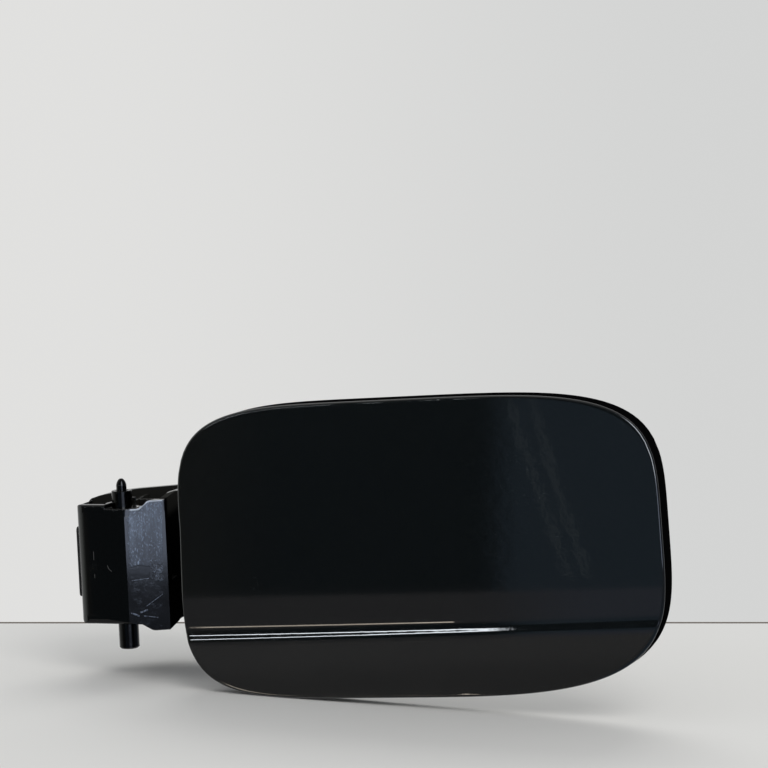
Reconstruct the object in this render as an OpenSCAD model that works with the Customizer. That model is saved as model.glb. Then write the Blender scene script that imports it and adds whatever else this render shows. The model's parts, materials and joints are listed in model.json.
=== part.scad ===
// Fuel filler flap with its moulded hinge arm and sprung hinge pin.
// Z runs up along the hinge pin, X runs towards the flap, -Y is the painted side.
// The origin is on the pin's axis, level with the underside of the cam block.

/* [Flap] */
// Width of the flap
flap_w = 201.2; // [180:0.1:230]
// Height of the flap
flap_h = 119; // [100:0.1:140]
// How far the highest point lies left of the middle
crest_shift = 12.6; // [-20:0.1:30]
// How far the widest point lies above the middle
belly_shift = 2.7; // [-10:0.1:10]
// Squareness of the upper left corner
corner_ul = 4.4; // [3:0.1:7]
// Squareness of the upper right corner
corner_ur = 4.5; // [3:0.1:7]
// Squareness of the lower left corner
corner_ll = 5.2; // [3:0.1:7]
// Squareness of the lower right corner
corner_lr = 3.7; // [3:0.1:7]
// Distance from the pin's axis to the flap's left edge
flap_reach = 37; // [36:0.1:45]
// Height of the flap's widest line above the origin
flap_z = 38.3; // [25:0.1:50]
// Tilt of the flap against the pin's axis, in degrees
cant = 2.2; // [0:0.1:5]
// Distance of the painted face ahead of the pin's axis
face_y = 26; // [24:0.1:30]

/* [Skin] */
// Thickness of the skin
skin_t = 0.9; // [0.7:0.1:1.2]
// Depth from the crown to the back of the turned flange
skin_depth = 13.5; // [12.5:0.1:15]
// Radius of the turned edge
edge_r = 1; // [0.8:0.1:2.4]
// Radius of the crown along the flap
crown_long = 2500; // [1600:10:6000]
// Radius of the crown across the flap
crown_high = 1500; // [1200:10:4000]
// Height of the crease above the lower edge
crease_up = 25.3; // [20:0.1:40]
// Tilt of the crease along the flap, in degrees
crease_tilt = 0.7; // [0:0.1:1.5]
// Height of the flat band above the crease
band_h = 17; // [12:0.5:25]
// Height of the hollow foot above the crease
foot_h = 3.2; // [2:0.1:5]
// Slope of the flat band, in degrees
band_angle = 4; // [1:0.5:6]
// Slope of the ridge above the crease, in degrees
ridge_angle = 14; // [5:0.5:16]
// Slope of the face below the crease, in degrees
under_angle = 5; // [2:0.5:6]
// Softness of the upper edge of the band
band_soft = 1.6; // [0.4:0.1:3]
// Softness of the hollow foot
foot_soft = 1.5; // [0.4:0.1:2]
// Softness of the crease
ridge_soft = 1; // [0.2:0.1:1.5]

/* [Carrier] */
// Gap between the skin's flange and the carrier's rim
rim_gap = 1.1; // [0.9:0.1:1.6]
// Thickness of the rim and ribs
rim_t = 2; // [1.6:0.1:2.6]
// Depth from the crown to the front of the inner panel
panel_y = 6; // [5.5:0.1:6.6]
// Thickness of the inner panel
panel_t = 2.2; // [1.8:0.1:2.8]
// Thickness of a stiffening rib
rib_t = 1.6; // [1.2:0.1:2]
// Height of the ribs behind the panel
rib_h = 3.8; // [3:0.1:4.4]
// Diameter of a screw boss
boss_d = 9; // [8:0.1:11]
// Gap between pieces that seat on each other
seat_gap = 0.1; // [0.05:0.01:0.3]
// Diameter of the studs that back the skin
stud_d = 5; // [3:0.5:8]
// Width of the cradle that holds the filler cap
cradle_w = 22; // [16:0.5:30]
// Length of the cradle
cradle_l = 34; // [24:0.5:44]
// Height of the cradle above the panel
cradle_h = 15; // [10:0.5:20]

/* [Hinge pin] */
// Diameter of the pin inside the arm
pin_d = 9; // [8.8:0.1:9.6]
// Diameter of the pin's lower end
stub_d = 8.4; // [7:0.1:8.6]
// Diameter of the collar
collar_d = 8.5; // [8:0.1:9]
// Length of the pin below the cam block
pin_stub = 10.8; // [6:0.1:16]
// Height of the collar above the cam block
collar_top = 7.1; // [4:0.1:9]
// Height of the collar itself
collar_h = 5.2; // [3.4:0.1:5.4]
// Diameter of the plunger's nose
nose_d = 4.3; // [3.4:0.1:4.6]
// Height of the nose above the collar
nose_out = 4.9; // [3:0.1:7]
// Travel of the plunger
travel = 4.5; // [3:0.1:5]
// Diameter of the bore that holds the plunger
chamber_d = 6; // [5.9:0.1:6.2]
// Depth of the plunger's bore below the pin's top
chamber_h = 26; // [22:0.5:30]
// Radial running clearance
run_gap = 0.05; // [0.03:0.01:0.09]
// Wire diameter of the spring
wire_d = 0.6; // [0.4:0.05:0.7]
// Number of turns of the spring
turns = 9; // [6:1:12]
// Height of the clip's groove above the origin
groove_z = 14; // [11:0.5:17]
// Diameter of the pin in the groove
groove_d = 7.2; // [6.6:0.1:7.6]
// Outer diameter of the clip
clip_d = 11; // [10:0.1:11.2]
// Thickness of the clip
clip_t = 1.2; // [0.8:0.1:1.4]

/* [Hinge arm] */
// Height of the cam block
block_h = 48.4; // [44:0.1:56]
// Distance from the axis to the front of the block
block_front = 7; // [6.8:0.1:9]
// Distance from the axis to the outer side of the block
block_side = 19.3; // [16:0.1:24]
// Depth of the arm behind the axis
arm_back = 50.5; // [47:0.5:56]
// Thickness of the arm's walls
wall = 2.6; // [2:0.1:3]
// Thickness of the middle web
web = 2.6; // [2:0.1:3.2]
// Thickness of the arm's ribs
arm_rib = 1.8; // [1.4:0.1:2.4]
// How far the arm reaches below the block
step_low = 2.7; // [1:0.1:4]
// How far the arm reaches above the block
step_high = 3.3; // [2:0.1:5]
// Height of the shoulder on the block's top
shoulder_h = 1.8; // [0.5:0.1:1.9]
// Distance from the axis to the shoulder
shoulder_in = 5; // [4.8:0.1:8]
// Distance behind the axis where the arm rises
rear_y = 6; // [5:0.5:9]
// Radius of the block's front edges
edge_soft = 2.2; // [1:0.1:2.4]
// Width of the window in the throat
window_w = 11.2; // [6:0.1:12]
// Height of the window
window_h = 10.9; // [6:0.1:14]
// Height of the left end of the cam track
track_top = 45.5; // [40:0.1:47]
// How far the cam track stands out
track_t = 0.7; // [0.4:0.1:1.2]
// Distance from the left edge of the flap to the leg
leg_in = 7; // [6.4:0.1:11]
// Width of the leg
leg_w = 14; // [12:0.5:18]
// Length of the foot beside the leg
foot_l = 27; // [24:0.5:32]
// Thickness of the foot
foot_t = 3; // [2.5:0.1:4]
// Height of the stop pad
pad_h = 29.5; // [20:0.5:36]
// Width of the stop pad
pad_w = 9; // [5:0.5:10]
// Thickness of the stop pad
pad_t = 1.6; // [1:0.1:2.4]

/* [Fasteners] */
// Diameter of the arm's screws
screw_d = 4; // [3.5:0.1:4.5]
// Diameter of a screw's head
head_d = 8.4; // [7:0.1:9]
// Height of a screw's head
head_h = 2.6; // [2:0.1:3.2]
// Width across the flats of the driving recess
drive_w = 3.4; // [2.5:0.1:4]
// Width of a flange clip
fclip_w = 10; // [6:0.5:14]
// Distance from the middle to a clip on the long edges
clip_u = 44; // [40:1:50]
// Thickness of a flange clip
fclip_t = 0.5; // [0.4:0.05:0.6]

/* [Latch] */
// Distance from the flap's right edge to the keeper
keeper_in = 17; // [16:0.5:26]
// Diameter of the keeper's eye
eye_d = 8; // [6:0.1:10]
// Thickness of the keeper's tab
tab_t = 3.2; // [2.4:0.1:5]
// Height of the eye above the keeper's base
eye_h = 12; // [9:0.5:16]
// Diameter of a rubber buffer
buffer_d = 12; // [9:0.5:15]
// Height of a rubber buffer
buffer_h = 5; // [3:0.5:8]
// Distance from the flap's long edges to a buffer
buffer_in = 21.5; // [18:0.5:28]

/* [Hidden] */

cut = 1;
left_w = flap_w / 2 - crest_shift;
right_w = flap_w / 2 + crest_shift;
up_h = flap_h / 2 - belly_shift;
low_h = flap_h / 2 + belly_shift;
flap_x = flap_reach + left_w;
leg_x = flap_reach + leg_in;
crease_v = crease_up - low_h;
tilt = tan(crease_tilt);

// Layers behind the crown, measured inwards
panel_back = panel_y + panel_t;
rib_y = panel_back + rib_h;
boss_y = skin_depth + seat_gap;
rim_in = skin_t + rim_gap;
seat_y = boss_y - face_y;

// Half width of the outline at height v, drawn in by the offset o
function bend(v, side) = v > 0 ? (side > 0 ? corner_ur : corner_ul)
                               : (side > 0 ? corner_lr : corner_ll);
function rise(v, o) = (v > 0 ? up_h : low_h) - o;
function half_w(v, side, o) = let (n = bend(v, side))
    ((side > 0 ? right_w : left_w) - o) * pow(max(0, 1 - pow(abs(v) / rise(v, o), n)), 1 / n);

// Soft fold of the face by the angle a, below the height where t is 0
function fold(t, w, a) = tan(a) / 2 * (sqrt(t * t + w * w) - t);

// Depth of the painted face behind its crown at u, v
function crease(u) = crease_v + tilt * u;
function face(u, v) = u * u / (2 * crown_long) + v * v / (2 * crown_high)
    + fold(v - crease_v - band_h, band_soft, band_angle)
    - fold(v - crease(u) - foot_h, foot_soft, band_angle + ridge_angle)
    + fold(v - crease(u), ridge_soft, ridge_angle + under_angle);

// Rows of the skin, closest together round the crease and in the corners
end_parts = [0.2, 0.3, 0.4, 0.5, 0.6, 0.7, 0.78, 0.85, 0.9, 0.94, 0.97, 0.985];
function end_row(h, t) = h * pow(1 - pow(t, 4.5), 1 / 4.5);
low_rows = [for (t = end_parts) let (v = -end_row(low_h, t)) if (v < crease_v - 2.4) v];
crease_rows = [for (s = [-2.2, -1.4, -0.8, -0.4, 0, 0.4, 0.8, 1.4, 2.2, 3, 3.8, 5.2, 8.5]) crease_v + s];
band_rows = [for (s = [-4.5, -2.5, -1, 0, 1, 2.5, 5]) crease_v + band_h + s];
mid_rows = [for (k = [1:4]) let (a = crease_v + band_h + 5, b = end_row(up_h, 0.985)) a + (b - a) * k / 5];
top_rows = [for (k = [len(end_parts) - 1:-1:0]) end_row(up_h, end_parts[k])];
rows = concat(low_rows, crease_rows, band_rows, mid_rows, top_rows);
row_n = len(rows);
col_n = 23;
loop_n = 2 * (col_n - 1) + 2 * (row_n - 1);

// The rows near the crease follow its tilt
function lean(j) = tilt * max(0, 1 - abs(rows[j] - crease_v) / band_h);
function end_v(j, side, o) = let (v = rows[j] + side * lean(j) * half_w(rows[j], side, 0))
    v * rise(v, o) / rise(v, 0);
function loop_ij(l) = l < col_n ? [l, 0]
    : l < col_n + row_n - 1 ? [col_n - 1, l - col_n + 1]
    : l < 2 * col_n + row_n - 2 ? [2 * col_n + row_n - 3 - l, row_n - 1]
    : [0, loop_n - l];
function at(i, j, o) = let (k = i / (col_n - 1), vl = end_v(j, -1, o), vr = end_v(j, 1, o),
    l = -half_w(vl, -1, o), r = half_w(vr, 1, o)) [l + (r - l) * k, vl + (vr - vl) * k];
function outline(o) = concat([for (j = [0:row_n - 1]) at(col_n - 1, j, o)],
                             [for (j = [row_n - 1:-1:0]) at(0, j, o)]);

// Polygon with a rounded corner at each point, given as [x, y, radius]
function unit(a) = a / norm(a);
function flat(p) = [p[0], p[1]];
function round_corner(a, b, c) = let (
    p = unit(flat(a) - flat(b)), q = unit(flat(c) - flat(b)), r = b[2],
    half = acos(p * q) / 2, m = flat(b) + unit(p + q) * r / sin(half),
    s = flat(b) + p * r / tan(half) - m, e = flat(b) + q * r / tan(half) - m,
    turn = 180 - 2 * half, way = s[0] * e[1] - s[1] * e[0] > 0 ? 1 : -1, steps = max(1, ceil(turn / 15)))
    r < 0.05 ? [flat(b)]
    : [for (k = [0:steps]) let (g = way * turn * k / steps)
        m + [s[0] * cos(g) - s[1] * sin(g), s[0] * sin(g) + s[1] * cos(g)]];
function corners(a, b, r) = [for (q = [[-1, -1], [1, -1], [1, 1], [-1, 1]]) [q[0] * a / 2, q[1] * b / 2, r]];
function rounded(p) = let (n = len(p))
    [for (i = [0:n - 1]) each round_corner(p[(i + n - 1) % n], p[i], p[(i + 1) % n])];

// The same polygon drawn in by d, for points given anticlockwise
function drawn_in(p, d) = let (n = len(p)) [for (i = [0:n - 1])
    let (a = p[(i + n - 1) % n], b = p[i], c = p[(i + 1) % n],
         e = unit(flat(b) - flat(a)), f = unit(flat(c) - flat(b)),
         ne = [-e[1], e[0]], nf = [-f[1], f[0]], m = (ne + nf) * d / (1 + ne * nf),
         left = e[0] * f[1] - e[1] * f[0] > 0)
    [b[0] + m[0], b[1] + m[1], b[2] < 0.05 ? 0 : max(0.3, b[2] + (left ? -d : d))]];

module on_flap() translate([flap_x, -face_y, flap_z]) rotate([0, -cant, 0]) children();
module slab(y0, y1) translate([0, y1, 0]) rotate([90, 0, 0]) linear_extrude(height = y1 - y0) children();
module along_y(x, y, z) translate([x, y, z]) rotate([-90, 0, 0]) children();

// Plan of the arm, seen from above and drawn anticlockwise
foot_y = seat_y + seat_gap;
leg_end = leg_x + leg_w;
cam_x = 4.1;
cam_end = [19, 0.5];
throat = [13, 24];
arm_plan = [[-block_side, -block_front, 5], [cam_x, -block_front, 1.2], [cam_end[0], cam_end[1], 0.6],
            [throat[0], throat[1], 14], [throat[0] + 1, arm_back - 10.5, 8], [leg_x, arm_back - 10.5, 7],
            [leg_x, foot_y, 0], [leg_end, foot_y, 0], [leg_end, arm_back, 14],
            [10, arm_back, 18], [-11, 33, 16], [-block_side, 9, 8]];

// Places of the arm's screws, keeper and buffers
arm_low = -step_low;
arm_high = block_h + step_high;
arm_h = arm_high - arm_low;
screw_x = [leg_end + 8, leg_end + foot_l - 7];
screw_z = [arm_low + 9, arm_high - 9];
arm_screws = [for (z = screw_z, x = screw_x) [x, z]];
keeper_u = right_w - keeper_in;
keeper_v = 5;
keeper_base = [16, 34, 2.5];
keeper_screws = [[keeper_u, keeper_v - 12], [keeper_u, keeper_v + 12]];
buffers = [[keeper_u - 8, up_h - buffer_in], [keeper_u - 8, buffer_in - low_h]];
boss_bore = screw_d + 2 * run_gap;
screw_hole = screw_d + 0.6;

// Each flange clip's side of the flap and its distance along that side
clip_spots = [[0, 1, -clip_u], [0, 1, clip_u], [0, -1, -clip_u], [0, -1, clip_u], [-1, 0, 8], [1, 0, 8]];
function rim_point(s, d) = s[0] != 0 ? [s[0] * half_w(s[2] + d, s[0], 0), s[2] + d]
    : let (u = s[2] + d, w = u > 0 ? right_w : left_w, n = bend(s[1], u))
        [u, s[1] * rise(s[1], 0) * pow(1 - pow(abs(u) / w, n), 1 / n)];

// Heights in the pin
pin_top = block_h + collar_top - collar_h;
collar_z = block_h + collar_top;
spigot_h = 3.6;
stop_z = pin_top - spigot_h;
chamber_z = pin_top - chamber_h;
head_t = 2;
head_z = stop_z - seat_gap - head_t;
tip_z = collar_z + nose_out;
ogive = 0.58 * nose_out;
guide_d = nose_d + 0.5;
web_z = (arm_low + arm_high) / 2;
chamfer = 0.6;

// Pin with a thinner lower end, a groove for its clip and a bore for the plunger
module hinge_pin() color([0.10, 0.10, 0.11]) rotate_extrude($fn = 72) difference() {
    polygon([[0, -pin_stub], [stub_d / 2 - chamfer, -pin_stub], [stub_d / 2, -pin_stub + chamfer],
             [stub_d / 2, 0], [pin_d / 2, 0], [pin_d / 2, groove_z], [groove_d / 2, groove_z],
             [groove_d / 2, groove_z + clip_t + 2 * seat_gap], [pin_d / 2, groove_z + clip_t + 2 * seat_gap],
             [pin_d / 2, block_h], [collar_d / 2, block_h], [collar_d / 2, pin_top], [0, pin_top]]);
    translate([0, chamber_z]) square([chamber_d / 2, chamber_h + cut]);
}

// Collar with a spigot that closes the plunger's bore
module pin_collar() {
    r = guide_d / 2 + run_gap;
    spigot_r = chamber_d / 2 - 0.02;
    color([0.07, 0.07, 0.08]) rotate_extrude($fn = 72)
        polygon([[r, stop_z], [spigot_r, stop_z], [spigot_r, pin_top + seat_gap / 2],
                 [collar_d / 2, pin_top + seat_gap / 2], [collar_d / 2, collar_z - chamfer / 2],
                 [collar_d / 2 - chamfer / 2, collar_z], [r + chamfer / 2, collar_z],
                 [r, collar_z - chamfer / 2]]);
}

// Bullet nose, a head that stops under the collar and a stem inside the spring that bottoms
module plunger() {
    stem_r = chamber_d / 2 - wire_d - 0.9;
    head_r = chamber_d / 2 - 0.25;
    stem_z = chamber_z + travel + seat_gap;
    color([0.15, 0.15, 0.16]) rotate_extrude($fn = 60)
        polygon(concat([[0, stem_z], [stem_r, stem_z], [stem_r, head_z], [head_r, head_z],
                        [head_r, head_z + head_t], [guide_d / 2, head_z + head_t],
                        [guide_d / 2, collar_z + seat_gap], [nose_d / 2, collar_z + seat_gap]],
                       [for (k = [0:8]) let (r = nose_d / 2 * sqrt(1 - pow(k / 8.4, 1.5)))
                           [r, tip_z - ogive + ogive * k / 8]],
                       [[0, tip_z]]));
}

// Swept coil spring between the bore's floor and the plunger's head
module plunger_spring() {
    sides = 5;
    per_turn = 12;
    mean_r = chamber_d / 2 - wire_d / 2 - 0.25;
    low = chamber_z + wire_d / 2 + seat_gap / 2;
    high = head_z - wire_d / 2 - seat_gap / 2;
    ring_n = turns * per_turn;
    pts = [for (k = [0:ring_n]) let (a = 360 * k / per_turn, z = low + (high - low) * k / ring_n)
        each [for (s = [0:sides - 1]) let (b = 360 * s / sides, r = mean_r + wire_d / 2 * cos(b))
            [r * cos(a), r * sin(a), z + wire_d / 2 * sin(b)]]];
    walls = [for (k = [0:ring_n - 1], s = [0:sides - 1])
        let (a = k * sides + s, b = k * sides + (s + 1) % sides)
            each [[a, b, b + sides], [a, b + sides, a + sides]]];
    ends = [[for (s = [sides - 1:-1:0]) s], [for (s = [0:sides - 1]) ring_n * sides + s]];
    color("silver") polyhedron(pts, concat(walls, ends));
}

// Retaining clip with three lugs and an open side
module pin_clip() color([0.45, 0.45, 0.47]) translate([0, 0, groove_z + seat_gap])
    linear_extrude(height = clip_t) difference() {
        circle(d = clip_d, $fn = 60);
        circle(d = groove_d + 2 * run_gap, $fn = 60);
        for (g = [35, 145]) rotate(g) translate([groove_d / 2, -1.1]) square([1, 2.2]);
        translate([-groove_d / 2 + 0.4, 0]) square([groove_d - 0.8, clip_d]);
    }

// Outlines of the arm and of its cam track, seen from the front
rise_x = [9, 14];
shoulder_z = block_h + shoulder_h;
top_front = [[rise_x[1], arm_high, 2], [rise_x[0], block_h, 2], [-shoulder_in, block_h, 0.4],
             [-shoulder_in, shoulder_z, 0.8], [-block_side, shoulder_z, 3]];
top_rear = [[-block_side, arm_high, 4.5]];
module arm_side(top) {
    reach = leg_end + foot_l;
    polygon(rounded(concat([[-block_side, 0, 3.8], [rise_x[0], 0, 4], [rise_x[1], arm_low, 4],
                            [reach, arm_low, 4], [reach, arm_high, 4]], top)));
}

// Block with soft front edges, and the arm that rises behind it
module arm_envelope() {
    intersection() {
        slab(-block_front - cut, rear_y) arm_side(top_front);
        union() {
            rotate([90, 0, 90]) translate([0, 0, -block_side - cut])
                linear_extrude(height = block_side + cut + rise_x[0])
                    polygon(rounded([[-block_front, 0, edge_soft], [rear_y + cut, 0, 0],
                                     [rear_y + cut, shoulder_z, 0],
                                     [-block_front, shoulder_z, edge_soft / 2]]));
            translate([rise_x[0], -block_front, arm_low])
                cube([leg_end + foot_l, block_front + rear_y + cut, arm_h]);
        }
    }
    slab(rear_y, arm_back + cut) arm_side(top_rear);
    slab(-face_y, -block_front) translate([leg_x - cut, arm_low]) square([leg_w + foot_l + cut, arm_h]);
}
module track_side() {
    s0 = rise_x[0] - 1;
    s1 = rise_x[1] - 1;
    polygon(rounded([[-5, edge_soft, 0.6], [s0, 0.8, 3], [s1, arm_low, 3], [s1 + 8, arm_low, 0],
                     [s1 + 8, arm_high, 0], [s1, arm_high, 2], [s0, track_top, 2], [-5, track_top, 0.6]]));
}

// Thin rib between two points of the plan
module arm_brace(a, b) translate([a[0], a[1], arm_low + wall]) rotate(atan2(b[1] - a[1], b[0] - a[0]))
    translate([0, -arm_rib / 2, 0]) cube([norm(b - a), arm_rib, arm_h - 2 * wall]);

module arm_braces() intersection() {
    translate([0, 0, arm_low]) linear_extrude(height = arm_h)
        polygon(rounded(drawn_in(arm_plan, wall / 2)));
    union() {
        arm_brace([-block_side, 3], [-4, 3]);
        arm_brace([4, 2], [throat[0] + 3, 8]);
        arm_brace([0, 4], [-6, 40]);
        arm_brace([-block_side, 20], [throat[0] + 2, 20]);
        arm_brace([throat[0] + 2, 30], [2, 50]);
        arm_brace([24, arm_back - 12], [24, arm_back]);
        arm_brace([leg_x - 2, arm_back - 13], [leg_end, arm_back]);
        arm_brace([leg_x, 22], [leg_end, 22]);
        arm_brace([leg_x, 4], [leg_end, 4]);
    }
}

module arm_body() intersection() {
    arm_envelope();
    union() {
        translate([0, 0, arm_low - cut]) linear_extrude(height = arm_h + 2 * cut) difference() {
            polygon(rounded(arm_plan));
            polygon(rounded(drawn_in(arm_plan, wall)));
        }
        translate([0, 0, web_z - web / 2]) linear_extrude(height = web) polygon(rounded(arm_plan));
        translate([0, 0, arm_low - cut]) cylinder(r = block_front, h = arm_h + 2 * cut, $fn = 72);
        arm_braces();
    }
}

module arm_foot() {
    slab(foot_y, foot_y + foot_t) polygon(rounded([[leg_x, arm_low, 0], [leg_end + foot_l, arm_low, 6],
                                                  [leg_end + foot_l, arm_high, 6], [leg_x, arm_high, 0]]));
    for (z = [arm_low + 1, web_z, arm_high - 1 - wall])
        translate([0, 0, z]) linear_extrude(height = wall)
            polygon([[leg_end - 1, foot_y + 1], [leg_end + foot_l - 3, foot_y + 1],
                     [leg_end + foot_l - 3, foot_y + foot_t + 1], [leg_end - 1, foot_y + 17]]);
}

module hinge_arm() color([0.05, 0.05, 0.055]) difference() {
    union() {
        arm_body();
        arm_foot();
        intersection() {
            translate([0, 5, 0]) rotate([90, 0, 0]) linear_extrude(height = 20) track_side();
            translate([0, 0, arm_low]) linear_extrude(height = arm_h)
                polygon([[-4.6, -block_front - track_t], [cam_x + 0.2, -block_front - track_t],
                         [cam_end[0] + 0.3, cam_end[1] - track_t], [cam_end[0] - 0.6, cam_end[1] + 0.9],
                         [cam_x, -block_front + 1], [-4.6, -block_front + 1]]);
        }
    }
    translate([0, 0, arm_low - cut]) cylinder(d = pin_d + 2 * run_gap, h = arm_h + 2 * cut, $fn = 72);
    // Slot that the clip is pushed into from behind
    translate([0, 0, groove_z]) cylinder(d = clip_d + 0.6, h = clip_t + 2 * seat_gap, $fn = 72);
    translate([-clip_d / 2 - 0.3, 0, groove_z]) cube([clip_d + 0.6, 9, clip_t + 2 * seat_gap]);
    // Window in the throat
    translate([throat[0] - 3, 9.5, (arm_h - window_h) / 2 - step_low - 2.5])
        cube([9, window_w, window_h]);
    for (s = arm_screws) {
        along_y(s[0], foot_y - cut, s[1]) cylinder(d = screw_hole, h = foot_t + 2 * cut, $fn = 40);
        along_y(s[0], foot_y + foot_t, s[1]) cylinder(d = head_d + 1, h = 30, $fn = 40);
    }
    pad_place() translate([0, 0, -wall - cut]) cylinder(d = stud_hole, h = wall + 2 * cut, $fn = 32);
}

// Pad on the outer side of the block, held by a stud through the wall
stud_hole = 3.2;
module pad_place() translate([-block_side, 2.4, block_h / 2 + 1.2]) rotate([0, -90, 0]) children();
module arm_stop_pad() color([0.04, 0.04, 0.045]) pad_place() {
    linear_extrude(height = pad_t)
        polygon(rounded(corners(pad_h, pad_w, 1.5)));
    translate([0, 0, -wall]) cylinder(d = stud_hole - 0.1, h = wall + pad_t / 2, $fn = 32);
}

// Pan head screw with its tip towards the painted face
module screw(head_y, tip_y) color([0.55, 0.55, 0.57]) difference() {
    union() {
        along_y(0, tip_y, 0) cylinder(d = screw_d, h = head_y - tip_y, $fn = 40);
        along_y(0, head_y, 0) cylinder(d = head_d, h = head_h * 0.6, $fn = 48);
        along_y(0, head_y + head_h * 0.6, 0)
            cylinder(d1 = head_d, d2 = head_d * 0.72, h = head_h * 0.4, $fn = 48);
    }
    along_y(0, head_y + head_h * 0.35, 0) cylinder(d = drive_w, h = head_h, $fn = 6);
}
module arm_screw(k) translate([arm_screws[k][0], 0, arm_screws[k][1]])
    screw(foot_y + foot_t + seat_gap, panel_y - face_y + 1.6);
module keeper_screw(k) on_flap() translate([keeper_screws[k][0], 0, keeper_screws[k][1]])
    screw(boss_y + seat_gap + keeper_base[2] + seat_gap, panel_y + 1.6);

// Painted skin: crowned face, turned edge and flange, all one sheet
module outer_skin() {
    ring_count = 6;
    arc = [30, 60, 90];
    base = col_n * row_n;
    inner = base + ring_count * loop_n;
    outer_pts = [for (j = [0:row_n - 1], i = [0:col_n - 1])
        let (p = at(i, j, edge_r)) [p[0], face(p[0], p[1]), p[1]]];
    ring_o = [for (a = arc) edge_r * (1 - sin(a))];
    arc_pts = [for (k = [0:2], l = [0:loop_n - 1]) let (q = loop_ij(l), p = at(q[0], q[1], ring_o[k]))
        [p[0], face(p[0], p[1]) + edge_r * (1 - cos(arc[k])), p[1]]];
    flange_pts = [for (o = [0, skin_t], l = [0:loop_n - 1]) let (q = loop_ij(l), p = at(q[0], q[1], o))
        [p[0], skin_depth, p[1]]];
    turn_pts = [for (l = [0:loop_n - 1]) let (q = loop_ij(l), p = at(q[0], q[1], skin_t))
        [p[0], face(p[0], p[1]) + edge_r, p[1]]];
    inner_pts = [for (p = outer_pts) [p[0], p[1] + skin_t, p[2]]];
    function cell(b, i, j) = [b + j * col_n + i, b + j * col_n + i + 1,
                              b + (j + 1) * col_n + i + 1, b + (j + 1) * col_n + i];
    function edge(b, l) = let (q = loop_ij(l % loop_n)) b + q[1] * col_n + q[0];
    function ring(r, l) = base + r * loop_n + l % loop_n;
    outer_faces = [for (j = [0:row_n - 2], i = [0:col_n - 2]) let (c = cell(0, i, j))
        each [[c[0], c[2], c[1]], [c[0], c[3], c[2]]]];
    inner_faces = [for (j = [0:row_n - 2], i = [0:col_n - 2]) let (c = cell(inner, i, j))
        each [[c[0], c[1], c[2]], [c[0], c[2], c[3]]]];
    side_faces = [for (l = [0:loop_n - 1], k = [-1:ring_count - 1])
        let (a0 = k < 0 ? edge(0, l) : ring(k, l), a1 = k < 0 ? edge(0, l + 1) : ring(k, l + 1),
             b0 = k == ring_count - 1 ? edge(inner, l) : ring(k + 1, l),
             b1 = k == ring_count - 1 ? edge(inner, l + 1) : ring(k + 1, l + 1))
            each [[a0, a1, b1], [a0, b1, b0]]];
    color([0.09, 0.10, 0.11]) on_flap()
        polyhedron(concat(outer_pts, arc_pts, flange_pts, turn_pts, inner_pts),
                   [for (f = concat(outer_faces, inner_faces, side_faces)) [f[0], f[2], f[1]]]);
}

// Inner panel with its rim, ribs, studs and cap cradle
rib_u = [-left_w + 22, -left_w + 58, 0, 34, 66];
rib_v = [-36, -14, 30];
stud_u = [-60, -24, 12, 48, 84];
stud_v = [-46, -26, 12, 38];
stud_gap = 0.5;
module carrier_ribs() {
    slab(panel_y + panel_t / 2, rib_y) intersection() {
        polygon(outline(rim_in + rim_t / 2));
        union() {
            for (u = rib_u) translate([u - rib_t / 2, -low_h]) square([rib_t, low_h + up_h]);
            for (v = rib_v) translate([-left_w, v - rib_t / 2]) square([left_w + right_w, rib_t]);
        }
    }
}
module inner_carrier() color([0.06, 0.06, 0.065]) difference() {
    union() {
        on_flap() {
            slab(panel_y, panel_back) polygon(outline(rim_in));
            slab(panel_y, skin_depth) difference() {
                polygon(outline(rim_in));
                polygon(outline(rim_in + rim_t));
            }
            carrier_ribs();
            for (u = stud_u, v = stud_v) slab(face(u, v) + skin_t + stud_gap, panel_y + panel_t / 2)
                translate([u, v]) circle(d = stud_d, $fn = 24);
            for (s = keeper_screws) slab(panel_y, boss_y) translate(s) circle(d = boss_d, $fn = 40);
            for (s = buffers) slab(panel_y, boss_y) translate(s) circle(d = buffer_d, $fn = 48);
            cradle();
        }
        for (s = arm_screws) along_y(s[0], panel_y - face_y, s[1])
            cylinder(d = boss_d, h = boss_y - panel_y, $fn = 40);
    }
    for (s = arm_screws) along_y(s[0], panel_y - face_y + 1, s[1]) cylinder(d = boss_bore, h = 20, $fn = 40);
    on_flap() {
        for (s = keeper_screws) along_y(s[0], panel_y + 1, s[1]) cylinder(d = boss_bore, h = 20, $fn = 40);
        for (s = buffers) along_y(s[0], panel_y + 1, s[1]) cylinder(d = buffer_d / 2 - 1, h = 20, $fn = 40);
    }
}

// Two lipped rails that the cap's grip slides between
module cradle() {
    lip = 3;
    lip_t = 2;
    u0 = 22;
    v0 = -2;
    for (m = [0, 1]) translate([u0, 0, v0]) mirror([m, 0, 0]) {
        translate([cradle_w / 2, panel_back - cut, -cradle_l / 2]) cube([2.4, cradle_h + cut, cradle_l]);
        translate([cradle_w / 2 - lip, panel_back + cradle_h - lip_t, -cradle_l / 2])
            cube([lip + cut, lip_t, cradle_l]);
    }
}

// Sprung clip that saddles the carrier's rim and grips the flange
module flange_clip(k) {
    s = clip_spots[k];
    way = s[0] == 0 ? s[1] : -s[0];
    a = rim_point(s, -way * fclip_w / 2);
    b = rim_point(s, way * fclip_w / 2);
    gap = 0.3;
    leg = 6;
    inner_leg = 4;
    inside = rim_in + rim_t + gap + fclip_t;
    color([0.5, 0.5, 0.52]) on_flap() translate([a[0], skin_depth + gap, a[1]])
        rotate([0, -atan2(b[1] - a[1], b[0] - a[0]), 0]) {
            translate([0, -leg, gap - rim_in]) cube([fclip_w, leg + fclip_t, fclip_t]);
            translate([0, 0, -inside]) cube([fclip_w, fclip_t, inside - rim_in + gap + fclip_t]);
            translate([0, -inner_leg, -inside]) cube([fclip_w, inner_leg + fclip_t, fclip_t]);
        }
}

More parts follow.
